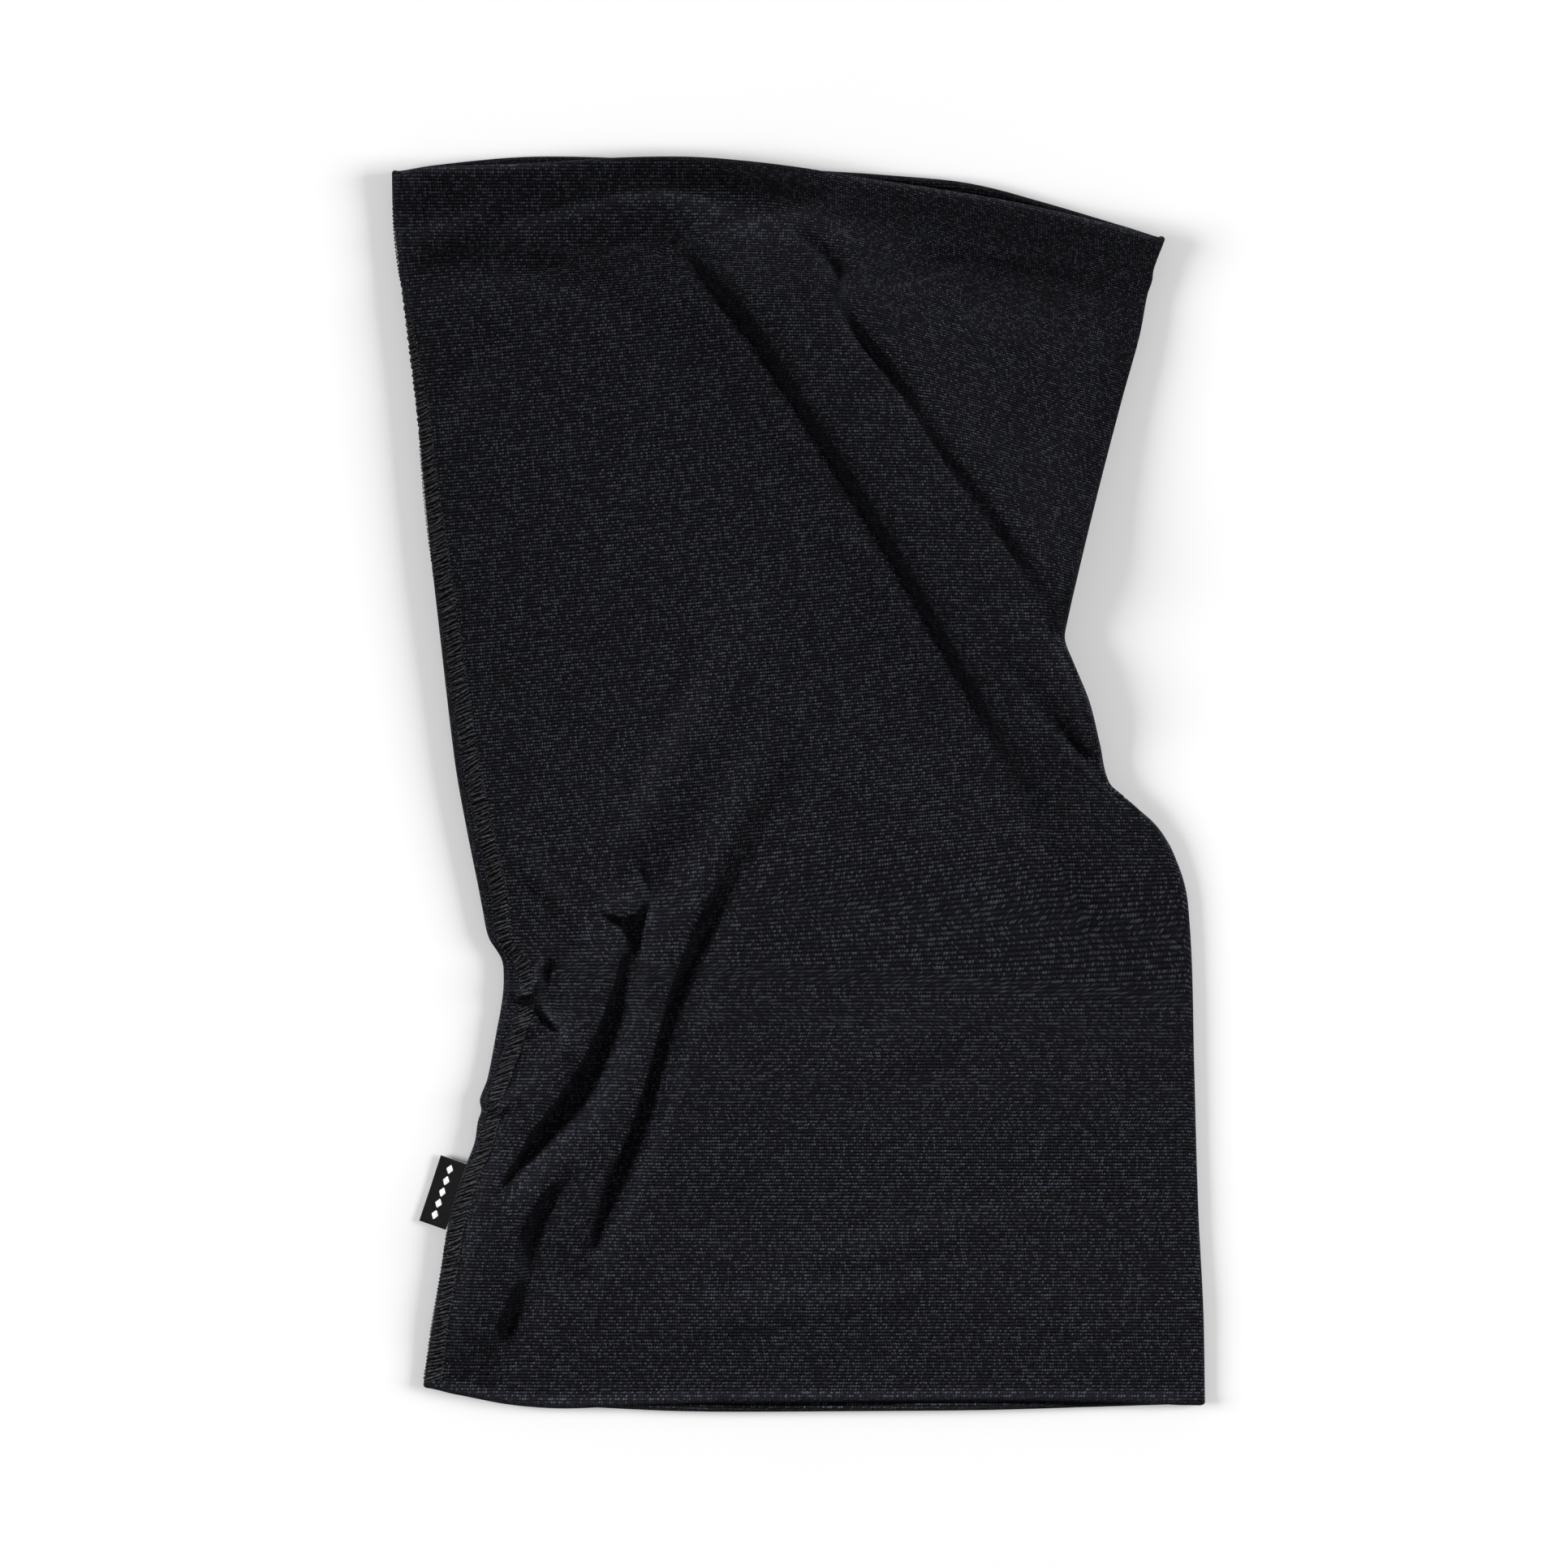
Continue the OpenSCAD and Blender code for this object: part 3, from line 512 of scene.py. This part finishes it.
def with_hems(rings):
    """The tube with its cloth turned in by the depth of the hem at both mouths."""
    normals = ring_normals(rings)
    along = np.linspace(0, TUBE_LENGTH, len(rings))
    depth = np.minimum(along, along[-1] - along)
    double = 1 - smooth((depth - HEM_DEPTH + 2) / 4)
    shell = rings + normals * np.array([0, 0, 1]) * (HEM_STEP * double)[:, None, None]
    shell[..., 2] = np.maximum(shell[..., 2], BACK_MID)
    rows_in = int(HEM_DEPTH / TUBE_LENGTH * len(rings)) - 1
    gap = FABRIC_T * 1.04

    def turned(order):
        """Rings from a mouth's fold inwards, inside the shell. The fold is rounder than the hem behind it."""
        edge, edge_n = shell[order[0]], normals[order[0]]
        out = shell[order[0]] - shell[order[1]]
        out = out / np.linalg.norm(out, axis=-1, keepdims=True)
        round_gap = gap + RIM_ROUND
        inside = []
        for turn in np.linspace(0, math.pi, 9)[1:]:
            inside.append(edge + out * math.sin(turn) * round_gap / 2
                          - edge_n * (1 - math.cos(turn)) * round_gap / 2)
        for j in order[1:]:
            inside.append(shell[j] - normals[j] * (gap + RIM_ROUND * math.exp(-(depth[j] / 2.2) ** 2)))
        return np.array(inside)

    picks = np.unique(np.linspace(0, rows_in, HEM_ROWS).astype(int))
    low = turned(list(picks))[::-1]
    high = turned([len(rings) - 1 - j for j in picks])
    return np.concatenate([low, shell, high]), len(low), len(high)


def corner_points(mesh):
    """The number of the vertex at each corner of each face."""
    index = np.empty(len(mesh.loops), np.int32)
    mesh.loops.foreach_get("vertex_index", index)
    return index


def add_uv(o, u, v):
    """UV in metres of the knitted panel, with the closing column of faces kept whole."""
    mesh = o.data
    index = corner_points(mesh)
    uu, vv = u.ravel()[index].reshape(-1, 4), v.ravel()[index].reshape(-1, 4)
    wrap = (uu.max(1) - uu.min(1)) > TUBE_ROUND / 3
    uu = np.where(wrap[:, None] & (uu < TUBE_ROUND / 3), uu + TUBE_ROUND, uu)
    layer = mesh.uv_layers.new(name="knit")
    layer.data.foreach_set("uv", (np.stack([uu, vv], -1) * MM).ravel())


def make_tube():
    rings = tube_rings()
    u, v = knit_coordinates(rings)
    full, low, high = with_hems(rings)
    u = np.concatenate([np.repeat(u[:1], low, 0), u, np.repeat(u[-1:], high, 0)])
    v = np.concatenate([v[0] - np.arange(low, 0, -1)[:, None] * HEM_ROW + 0 * u[:low], v,
                        v[-1] + np.arange(1, high + 1)[:, None] * HEM_ROW + 0 * u[:high]])
    o = mesh_object("gaiter_tube", full, ring_faces(len(full), rings.shape[1]))
    add_uv(o, u, v)
    thick = o.modifiers.new("cloth thickness", "SOLIDIFY")
    thick.thickness = FABRIC_T * MM
    thick.offset = 0
    thick.use_rim = True
    return o, rings


# ---- The seam and its threads ----

class Cloth:
    """The tube's middle surface near its left fold, read by share of the length and by the distance in
    front of the silhouette (negative distances lie on the back)."""

    def __init__(self, rings):
        n = rings.shape[1]
        pick = (np.arange(-26, 27) + n - FOLD_COLS // 2) % n
        self.points = rings[:, pick]
        self.normals = ring_normals(rings)[:, pick]
        step = np.linalg.norm(np.diff(self.points, axis=1), axis=-1)
        arc = np.concatenate([np.zeros((len(rings), 1)), np.cumsum(step, 1)], 1)
        middle = np.argmin(self.points[..., 0], 1)
        self.arc = arc - np.take_along_axis(arc, middle[:, None], 1)
        self.edge_y = self.points[np.arange(len(rings)), middle, 1]

    def at(self, share, distance, lift):
        """Points lifted off the cloth's middle surface, outwards when lift is positive."""
        row = np.clip(np.asarray(share, float), 0, 1) * (len(self.points) - 1)
        low = np.minimum(row.astype(int), len(self.points) - 2)
        out = np.zeros((len(row), 3))
        for k in range(len(row)):
            f = row[k] - low[k]
            for j, part in ((low[k], 1 - f), (low[k] + 1, f)):
                place = [np.interp(distance[k], self.arc[j], self.points[j, :, a]) for a in range(3)]
                normal = [np.interp(distance[k], self.arc[j], self.normals[j, :, a]) for a in range(3)]
                out[k] += part * (np.array(place) + lift[k] * np.array(normal))
        return out


# How far the seam's middle lies in front of the left silhouette, as (y, distance).
SEAM_LINE = [(-190, 3.7), (-130, 5.2), (-111, 5.8), (-101, 6.7), (-92, 6.2), (-79, 8), (-65, 9.5), (-57, 8),
             (-50, 6), (-37, 7.2), (-23, 7), (30, 5.3), (80, 3.8), (146, 0), (157, -1.5), (194, -4.5)]


def seam_path(cloth, share):
    return curve(SEAM_LINE, np.interp(share, np.linspace(0, 1, len(cloth.edge_y)), cloth.edge_y))


def sweep(path, half_w, half_h, across, sides=8):
    """A thread of elliptical section along a path. across is the wide direction at each point."""
    path = np.asarray(path, float)
    along = np.gradient(path, axis=0)
    along /= np.maximum(np.linalg.norm(along, axis=1, keepdims=True), 1e-9)
    up = np.cross(along, across)
    up /= np.maximum(np.linalg.norm(up, axis=1, keepdims=True), 1e-9)
    wide = np.cross(up, along)
    turn = np.linspace(0, 2 * math.pi, sides, endpoint=False)
    half_w, half_h = np.broadcast_to(half_w, len(path)), np.broadcast_to(half_h, len(path))
    ring = (path[:, None] + wide[:, None] * (np.cos(turn)[None, :] * half_w[:, None])[..., None]
            + up[:, None] * (np.sin(turn)[None, :] * half_h[:, None])[..., None])
    return ring.reshape(-1, 3), ring_faces(len(path), sides)


def joined(name, parts):
    """One object from several (points, faces) pairs."""
    points, faces, start = [], [], 0
    for p, f in parts:
        points.append(p)
        faces.append(f + start)
        start += len(p)
    return mesh_object(name, np.concatenate(points), np.concatenate(faces))


def cover_thread(cloth):
    """The bulky thread that crosses the seam to and fro over the two edges of cloth: thick leaning
    bars, each followed by a thinner return that lies lower and leans the other way."""
    rng = np.random.RandomState(8)
    count = int(TUBE_LENGTH / BAR_PITCH) - 2
    share, distance, lift, thick = [], [], [], []
    reach = (SEAM_W - 0.7) / 2
    for k in range(count):
        middle = (k + 1.3) * BAR_PITCH + rng.uniform(-0.2, 0.2)
        lean = BAR_LEAN * rng.uniform(0.5, 1.4)
        start, end = reach + rng.uniform(-0.3, 0.2, 2)
        bow = rng.uniform(-0.25, 0.25)
        bold = 1.15 if k % 2 else 0.7
        for t in np.linspace(-1, 1, 9):
            share.append(middle + lean * t + bow * (1 - t * t))
            distance.append(t * (start if t < 0 else end))
            lift.append(COVER_LIFT - 0.1 + 0.3 * bold * math.cos(t * math.pi / 2) + rng.uniform(-0.05, 0.05))
            thick.append(bold * (0.27 + 0.05 * math.cos(t * math.pi / 2)) + rng.uniform(-0.07, 0.07))
        for t in np.linspace(0.75, -0.75, 5):
            share.append(middle + lean * t + BAR_PITCH * (0.5 - 0.25 * t))
            distance.append(t * end)
            lift.append(COVER_LIFT - 0.1 + rng.uniform(-0.04, 0.04))
            thick.append(0.12 + rng.uniform(-0.03, 0.03))
    share = np.array(share) / TUBE_LENGTH
    distance = np.array(distance) + seam_path(cloth, share)
    path = cloth.at(share, distance, np.array(lift))
    beyond = cloth.at(share, distance, np.array(lift) + 1)
    along = np.gradient(path, axis=0)
    across = np.cross(beyond - path, along)
    across /= np.maximum(np.linalg.norm(across, axis=1, keepdims=True), 1e-9)
    thick = np.array(thick)
    return joined("seam_cover", [sweep(path, thick, 0.55 * thick, across)])


def needle_threads(cloth):
    """Two lines of short stitches along the seam, which hold the cover thread down."""
    rng = np.random.RandomState(21)
    parts = []
    for side, size in ((-1, 0.16), (1, 0.25)):
        count = int(TUBE_LENGTH / BAR_PITCH) - 2
        for k in range(count):
            t = np.linspace(-1, 1, 7)
            middle = (k + 1.9) * BAR_PITCH + rng.uniform(-0.15, 0.15)
            share = (middle + t * 0.44 * BAR_PITCH) / TUBE_LENGTH
            distance = side * (SEAM_W / 2 - 0.5) + rng.uniform(-0.14, 0.14) + 0.12 * t
            distance = distance + seam_path(cloth, share)
            lift = COVER_LIFT - 0.1 + 0.42 * np.cos(t * math.pi / 2)
            path = cloth.at(share, distance, lift)
            across = cloth.at(share, distance + 0.5, lift) - path
            thick = np.sqrt(np.clip(1.02 - t * t, 0.02, 1))
            parts.append(sweep(path, size * thick, size * thick, across, 6))
    return joined("seam_needles", parts)


def looper_thread(cloth):
    """A flat zigzag under the seam, inside the tube."""
    count = int(TUBE_LENGTH / BAR_PITCH) - 6
    t = np.arange(count)
    share = (t + 3.5) * BAR_PITCH / TUBE_LENGTH
    distance = np.where(t % 2, 1, -1) * (SEAM_W / 2 - 1.0) + seam_path(cloth, share)
    share, distance = np.repeat(share, 2), np.repeat(distance, 2)
    share[1::2] += 0.35 * BAR_PITCH / TUBE_LENGTH
    lift = np.full(len(share), -FABRIC_T / 2 - 0.12)
    path = cloth.at(share, distance, lift)
    across = path - cloth.at(share, distance, lift - 0.5)
    across = np.cross(across, np.gradient(path, axis=0))
    return joined("seam_looper", [sweep(path, 0.16, 0.09, across, 6)])


def hem_thread(rings, name, top):
    """Blind stitches that catch the turned edge of a hem, seen only from inside the tube."""
    row = HEM_DEPTH / TUBE_LENGTH * (len(rings) - 1)
    j = int(len(rings) - 1 - row if top else row)
    loop, out = rings[j], ring_normals(rings)[j]
    inner = rings[j - 2 if top else j + 2]
    arc = np.concatenate([[0], np.cumsum(np.linalg.norm(np.diff(loop, axis=0), axis=1))])
    count = int(arc[-1] / HEM_STITCH)
    at = (np.arange(count) + 0.5) * arc[-1] / count
    edge = np.stack([np.interp(at, arc, loop[:, a]) for a in range(3)], 1)
    free = np.stack([np.interp(at, arc, inner[:, a]) for a in range(3)], 1)
    normal = np.stack([np.interp(at, arc, out[:, a]) for a in range(3)], 1)
    path = np.where((np.arange(count) % 2)[:, None] == 1, edge - normal * (1.5 * FABRIC_T + 0.2),
                    free - normal * (FABRIC_T / 2 + 0.2))
    across = np.cross(normal, np.gradient(path, axis=0))
    return joined(name, [sweep(path, 0.12, 0.09, across, 6)])


# ---- The label ----
LABEL_L = 21.8
LABEL_W = 8.6
TAPE_T = 0.3
TAPE_GAP = 0.15
LABEL_ROOT = (-108.5, -129.7, 3.2)
LABEL_TURN = math.radians(-18.4)
LABEL_SLOPE = math.radians(12)
MARKS = 5


def label_place(points):
    """From the label's own frame (-X out from the seam, Y along it, Z up) to the tube's."""
    p = np.asarray(points, float)
    c, s = math.cos(-LABEL_SLOPE), math.sin(-LABEL_SLOPE)
    x, z = p[..., 0] * c + p[..., 2] * s, -p[..., 0] * s + p[..., 2] * c
    c, s = math.cos(LABEL_TURN), math.sin(LABEL_TURN)
    return np.stack([x * c - p[..., 1] * s, x * s + p[..., 1] * c, z], -1) + np.array(LABEL_ROOT)


def label_skin(x, y):
    """Height of the label's middle: a slight bow along it and a lift at one corner."""
    return 0.1 * np.cos(y / LABEL_L * math.pi * 2) * (x / LABEL_W) + 0.25 * (x / LABEL_W) ** 2 * (y / LABEL_L)


def make_label():
    """A woven tape folded over on itself, its fold away from the seam."""
    half = (TAPE_T + TAPE_GAP) / 2
    straight = np.linspace(0.5, -LABEL_W + half + TAPE_T / 2, 22)
    turn = np.linspace(math.pi / 2, math.pi * 1.5, 9)[1:-1]
    x = np.concatenate([straight, straight[-1] + half * np.cos(turn), straight[::-1]])
    z = np.concatenate([np.full(22, half), half * np.sin(turn), np.full(22, -half)])
    y = np.linspace(-LABEL_L / 2, LABEL_L / 2, 44)
    yy, xx = np.meshgrid(y, x, indexing="ij")
    zz = z[None, :] + label_skin(xx, yy)
    grid = label_place(np.stack([xx, yy, zz], -1))
    rows, cols = grid.shape[:2]
    j, k = np.meshgrid(np.arange(rows - 1), np.arange(cols - 1), indexing="ij")
    faces = np.stack([j * cols + k, (j + 1) * cols + k, (j + 1) * cols + k + 1, j * cols + k + 1], -1)
    o = mesh_object("label_loop", grid.reshape(-1, 3), faces.reshape(-1, 4))
    mesh = o.data
    along = np.cumsum(np.hypot(np.diff(x, prepend=x[0]), np.diff(z, prepend=z[0])))
    uv = np.stack([np.broadcast_to(along[None, :], yy.shape), yy + LABEL_L / 2], -1).reshape(-1, 2)
    mesh.uv_layers.new(name="weave").data.foreach_set("uv", (uv[corner_points(mesh)] * MM).ravel())
    thick = o.modifiers.new("tape thickness", "SOLIDIFY")
    thick.thickness = TAPE_T * MM
    thick.offset = 0
    thick.material_offset_rim = 1
    return o


def make_marks():
    """A row of plain diamonds woven along the middle of the label, as raised satin stitches."""
    pitch = (LABEL_L - 3) / MARKS
    half_l, half_w = 1.6, 1.1
    top = (TAPE_T + TAPE_GAP) / 2 + TAPE_T / 2
    parts = []
    for i in range(MARKS):
        centre = pitch * (i - (MARKS - 1) / 2)
        for y in np.arange(-half_l + 0.11, half_l, 0.2):
            reach = half_w * (1 - abs(y) / half_l)
            if reach < 0.08:
                continue
            x = -LABEL_W / 2 + np.linspace(-reach, reach, 7)
            t = np.linspace(-1, 1, 7)
            yy = np.full(7, centre + y)
            lift = top + 0.1 * np.sqrt(np.clip(1.02 - t**4, 0, 1)) + label_skin(x, yy) - 0.02
            path = label_place(np.stack([x, yy, lift], -1))
            across = np.tile(label_place([[0, 1, 0]])[0] - label_place([[0, 0, 0]])[0], (7, 1))
            parts.append(sweep(path, 0.11, 0.07, across, 6))
    return joined("label_diamonds", parts)


# ---- Materials ----

def new_material(name):
    m = bpy.data.materials.new(name)
    m.use_nodes = True
    nodes, links = m.node_tree.nodes, m.node_tree.links
    return m, nodes, links, nodes["Principled BSDF"]


def maths(nodes, links, operation, a, b=None, c=None):
    n = nodes.new("ShaderNodeMath")
    n.operation = operation
    for socket, value in zip(n.inputs, (a, b, c)):
        if value is None:
            continue
        if isinstance(value, (int, float)):
            socket.default_value = value
        else:
            links.new(value, socket)
    return n.outputs[0]


def noise(nodes, links, vector, scale, detail=2.0, rough=0.5):
    n = nodes.new("ShaderNodeTexNoise")
    n.inputs["Scale"].default_value = scale
    n.inputs["Detail"].default_value = detail
    n.inputs["Roughness"].default_value = rough
    links.new(vector, n.inputs["Vector"])
    return n.outputs["Fac"]


def colour_ramp(nodes, links, fac, stops):
    ramp = nodes.new("ShaderNodeValToRGB")
    while len(ramp.color_ramp.elements) < len(stops):
        ramp.color_ramp.elements.new(0.5)
    for element, (position, colour) in zip(ramp.color_ramp.elements, stops):
        element.position = position
        element.color = (*colour, 1)
    links.new(fac, ramp.inputs[0])
    return ramp.outputs[0]


def set_bump(nodes, links, shader, height, strength, distance):
    bump_node = nodes.new("ShaderNodeBump")
    bump_node.inputs["Strength"].default_value = strength
    bump_node.inputs["Distance"].default_value = distance
    links.new(height, bump_node.inputs["Height"])
    links.new(bump_node.outputs[0], shader.inputs["Normal"])


def jersey_material():
    """A fine knit: rows of bead-like loops, each a little different, in a mottled dark navy yarn, with
    painted shade darkening the gaps between the loops.
    """
    m, nodes, links, shader = new_material("jersey")
    do = partial(maths, nodes, links)
    uv = nodes.new("ShaderNodeUVMap")
    uv.uv_map = "knit"
    split = nodes.new("ShaderNodeSeparateXYZ")
    links.new(uv.outputs[0], split.inputs[0])
    wobble = do("SUBTRACT", noise(nodes, links, uv.outputs[0], 1300, 2), 0.5)
    wales = do("ADD", do("DIVIDE", split.outputs[0], WALE * MM), do("MULTIPLY", wobble, 0.7))
    courses = do("ADD", do("DIVIDE", split.outputs[1], COURSE * MM), do("MULTIPLY", wobble, 0.35))
    leg = do("ABSOLUTE", do("SUBTRACT", do("MULTIPLY", do("FRACT", wales), 2), 1))
    climb = do("ADD", courses, do("MULTIPLY", leg, 0.22))
    row = do("ABSOLUTE", do("SUBTRACT", do("MULTIPLY", do("FRACT", climb), 2), 1))
    arch = do("SUBTRACT", 1, do("POWER", row, 1.5))
    bead = do("MULTIPLY", arch, do("SUBTRACT", 1, do("MULTIPLY", do("POWER", leg, 2), 0.75)))
    stitch = nodes.new("ShaderNodeCombineXYZ")
    links.new(do("FLOOR", wales), stitch.inputs[0])
    links.new(do("FLOOR", climb), stitch.inputs[1])
    chance = nodes.new("ShaderNodeTexWhiteNoise")
    chance.noise_dimensions = "2D"
    links.new(stitch.outputs[0], chance.inputs["Vector"])
    fibre = noise(nodes, links, uv.outputs[0], 2600, 2, 0.6)
    mottle = noise(nodes, links, uv.outputs[0], 700, 3, 0.75)
    height = do("ADD", do("MULTIPLY", bead, do("ADD", do("MULTIPLY", chance.outputs["Value"], 0.5), 0.75)),
                do("MULTIPLY", fibre, 0.5))
    set_bump(nodes, links, shader, height, 1.0, 0.0004)
    # Painted shade: the colour follows the bead relief and goes nearly black in the gaps between loops and
    # rows.
    loops = do("ADD", do("MULTIPLY", bead, 1.05), 0.02)
    yarn = do("ADD", do("MULTIPLY", do("POWER", chance.outputs["Value"], 1.6), 1.12), 0.39)
    tone = do("MULTIPLY", loops, yarn)
    tone = do("MULTIPLY", tone, do("MULTIPLY_ADD", do("SUBTRACT", mottle, 0.5), 0.4, 1.0))
    tone = do("ADD", tone, do("MULTIPLY", do("SUBTRACT", fibre, 0.5), 0.4))
    speck = do("MULTIPLY", do("GREATER_THAN", chance.outputs["Value"], 0.99), bead)
    tone = do("ADD", tone, do("MULTIPLY", speck, 0.45))
    base = colour_ramp(nodes, links, tone, [(0.0, (0.0002, 0.0002, 0.0003)), (0.4, (0.0033, 0.0034, 0.0054)),
                                            (0.8, (0.0127, 0.0133, 0.0196)), (1.0, (0.037, 0.039, 0.053))])
    links.new(base, shader.inputs["Base Color"])
    shader.inputs["Roughness"].default_value = 0.85
    shader.inputs["Specular IOR Level"].default_value = 0.1
    shader.inputs["Sheen Weight"].default_value = 0.04
    shader.inputs["Sheen Roughness"].default_value = 0.3
    shader.inputs["Sheen Tint"].default_value = (0.75, 0.8, 1, 1)
    return m


def thread_material(name, dark, light, twist):
    """Bulky spun thread: plies at a slant with loose fibres."""
    m, nodes, links, shader = new_material(name)
    do = partial(maths, nodes, links)
    place = nodes.new("ShaderNodeTexCoord")
    plies = noise(nodes, links, place.outputs["Object"], twist, 2)
    fibre = noise(nodes, links, place.outputs["Object"], twist * 4, 3, 0.7)
    mixed = do("ADD", do("MULTIPLY", plies, 0.6), do("MULTIPLY", fibre, 0.4))
    base = colour_ramp(nodes, links, mixed, [(0.44, dark), (0.64, light)])
    links.new(base, shader.inputs["Base Color"])
    set_bump(nodes, links, shader, mixed, 0.8, 0.0002)
    shader.inputs["Roughness"].default_value = 0.7
    shader.inputs["Specular IOR Level"].default_value = 0.15
    shader.inputs["Sheen Weight"].default_value = 0.03
    return m


def label_material():
    """A tight satin weave in charcoal, with the pale warp showing at the cut ends."""
    m, nodes, links, shader = new_material("label tape")
    do = partial(maths, nodes, links)
    uv = nodes.new("ShaderNodeUVMap")
    uv.uv_map = "weave"
    split = nodes.new("ShaderNodeSeparateXYZ")
    links.new(uv.outputs[0], split.inputs[0])
    across = do("SINE", do("MULTIPLY", split.outputs[1], 2 * math.pi / 0.00032))
    along = do("SINE", do("MULTIPLY", split.outputs[0], 2 * math.pi / 0.0006))
    fibre = noise(nodes, links, uv.outputs[0], 2500, 3, 0.6)
    height = do("ADD", do("MULTIPLY", across, 0.5), do("ADD", do("MULTIPLY", along, 0.25), fibre))
    base = colour_ramp(nodes, links, do("MULTIPLY_ADD", height, 0.4, 0.3),
                       [(0.1, (0.0005, 0.0005, 0.0005)), (0.9, (0.0037, 0.0037, 0.0036))])
    links.new(base, shader.inputs["Base Color"])
    set_bump(nodes, links, shader, height, 0.5, 0.0001)
    shader.inputs["Roughness"].default_value = 0.75
    shader.inputs["Specular IOR Level"].default_value = 0.1
    return m


def floor_material():
    m, nodes, links, shader = new_material("pale floor")
    grain = nodes.new("ShaderNodeTexNoise")
    grain.inputs["Scale"].default_value = 40
    base = colour_ramp(nodes, links, grain.outputs["Fac"], [(0, (0.9, 0.9, 0.9)), (1, (0.93, 0.93, 0.93))])
    links.new(base, shader.inputs["Base Color"])
    shader.inputs["Roughness"].default_value = 0.9
    shader.inputs["Specular IOR Level"].default_value = 0.1
    return m


# ---- Stage ----

def make_stage():
    bpy.ops.mesh.primitive_plane_add(size=6, location=(0, 0, 0))
    floor = bpy.context.object
    floor.name = "floor"
    floor.data.materials.append(floor_material())
    return floor


VIEW_WIDTH = 0.4956
CAMERA_PLACE = (-0.0047, 0.0005, 2.4)
SENSOR = 36.0
# A narrow soft key light from beyond the top mouth, a little to the left, with an overhead light and an
# even fill. The floor is lit by two lights of its own, one on each side.
KEY_PLACE = (-0.42, 3.45, 2.1)
KEY_AIM = (0.1, -0.78, 0)
KEY_SIZE = 0.6
KEY_SPREAD = math.radians(16)
KEY_POWER = 7.9
OVERHEAD_PLACE = (0.2, -1.0, 1.9)
OVERHEAD_AIM = (0, -0.1, 0)
OVERHEAD_SIZE = 1.0
OVERHEAD_POWER = 5
FLOOR_SIDE = 2.2
FLOOR_HEIGHT = 1.3
FLOOR_SIZE = 1.2
FLOOR_POWER = 58
FILL = 0.25


def make_camera():
    data = bpy.data.cameras.new("camera")
    data.sensor_width = SENSOR
    data.lens = SENSOR * CAMERA_PLACE[2] / VIEW_WIDTH
    data.clip_end = 20
    camera = bpy.data.objects.new("camera", data)
    camera.location = CAMERA_PLACE
    bpy.context.scene.collection.objects.link(camera)
    bpy.context.scene.camera = camera


def area_light(name, place, target, size, power):
    data = bpy.data.lights.new(name, "AREA")
    data.energy = power
    data.shape = "SQUARE"
    data.size = size
    light = bpy.data.objects.new(name, data)
    light.location = place
    light.rotation_euler = (Vector(target) - Vector(place)).to_track_quat("-Z", "Y").to_euler()
    bpy.context.scene.collection.objects.link(light)
    return light


def light_reach(light, floor, state):
    """Lets a light reach the floor alone (INCLUDE), or everything but the floor (EXCLUDE)."""
    group = bpy.data.collections.new(light.name + " reach")
    group.objects.link(floor)
    group.collection_objects[0].light_linking.link_state = state
    light.light_linking.receiver_collection = group


def make_lights(floor):
    world = bpy.data.worlds.new("studio")
    world.use_nodes = True
    world.node_tree.nodes["Background"].inputs[0].default_value = (1, 1, 1, 1)
    world.node_tree.nodes["Background"].inputs[1].default_value = FILL
    bpy.context.scene.world = world
    key = area_light("key", KEY_PLACE, KEY_AIM, KEY_SIZE, KEY_POWER)
    key.data.spread = KEY_SPREAD
    light_reach(key, floor, "EXCLUDE")
    for name, side in (("floor left", -1), ("floor right", 1)):
        light = area_light(name, (FLOOR_SIDE * side, 0, FLOOR_HEIGHT), (0, 0, 0), FLOOR_SIZE, FLOOR_POWER)
        light_reach(light, floor, "INCLUDE")
    overhead = area_light("overhead", OVERHEAD_PLACE, OVERHEAD_AIM, OVERHEAD_SIZE, OVERHEAD_POWER)
    light_reach(overhead, floor, "EXCLUDE")
    bpy.context.scene.view_settings.view_transform = "Standard"


# ---- Assembly ----
make_camera()
tube, rings = make_tube()
tube.data.materials.append(jersey_material())
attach(tube, "tube")
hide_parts("knit_tube", "top_hem", "bottom_hem")

cloth = Cloth(rings)
pale = thread_material("pale thread", (0.0005, 0.0005, 0.0007), (0.034, 0.035, 0.041), 1100)
plain = thread_material("inner thread", (0.004, 0.004, 0.005), (0.02, 0.02, 0.024), 1500)
mark_white = thread_material("white mark", (0.55, 0.55, 0.54), (0.85, 0.85, 0.84), 2500)
label_black = label_material()
PIECES = [
    (cover_thread(cloth), pale, "tube", "cover_thread", ["seam_cover_thread"]),
    (needle_threads(cloth), pale, "tube", "inner_thread", ["seam_needle_threads"]),
    (looper_thread(cloth), plain, "tube", "inner_thread", ["seam_looper_thread"]),
    (hem_thread(rings, "hem_stitches_top", True), plain, "tube", "inner_thread", ["top_hem_thread"]),
    (hem_thread(rings, "hem_stitches_bottom", False), plain, "tube", "inner_thread", ["bottom_hem_thread"]),
    (make_label(), label_black, "label", "label_tape", ["label_tape"]),
    (make_marks(), mark_white, "label", "label_mark", ["label_mark"]),
]
for piece, material, body, slot, nodes_replaced in PIECES:
    piece.data.materials.append(material)
    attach(piece, body)
    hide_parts(*nodes_replaced)
bpy.data.objects["label_loop"].data.materials.append(mark_white)
make_lights(make_stage())
